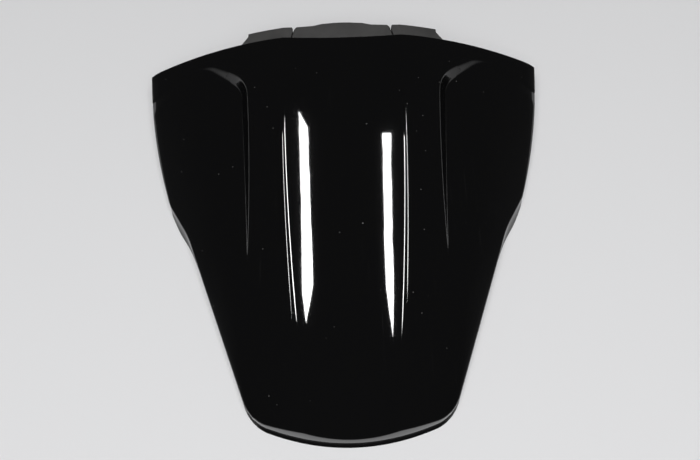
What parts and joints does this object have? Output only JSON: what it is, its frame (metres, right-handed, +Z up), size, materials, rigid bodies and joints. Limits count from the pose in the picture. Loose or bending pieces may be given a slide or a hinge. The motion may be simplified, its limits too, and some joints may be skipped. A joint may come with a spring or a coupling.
{
  "type": "motorbike seat cowl",
  "caption": "Gloss-black moulded cover that takes the place of a motorbike's passenger seat, with side recesses, rubber pads under its front edge and a latch loop beneath.",
  "frame": {"origin": "centre of the plan box, on the surface that the lower rim rests on", "axes": "+X across the cowl to its right, +Y from the tail to the front, +Z up"},
  "size_m": [0.3064, 0.3174, 0.0599],
  "materials": {
    "gloss_black_abs": "gloss black moulded ABS with fine handling scratches",
    "pad_rubber": "matt black sheet rubber with a fine grain",
    "zinc_plated_steel": "bright zinc plate"
  },
  "bodies": {
    "root": {"cowl_shell": "gloss_black_abs", "front_pad_left": "pad_rubber", "front_pad_centre": "pad_rubber", "front_pad_right": "pad_rubber", "latch_striker": "zinc_plated_steel", "striker_screws": "zinc_plated_steel"}
  },
  "joints": []
}
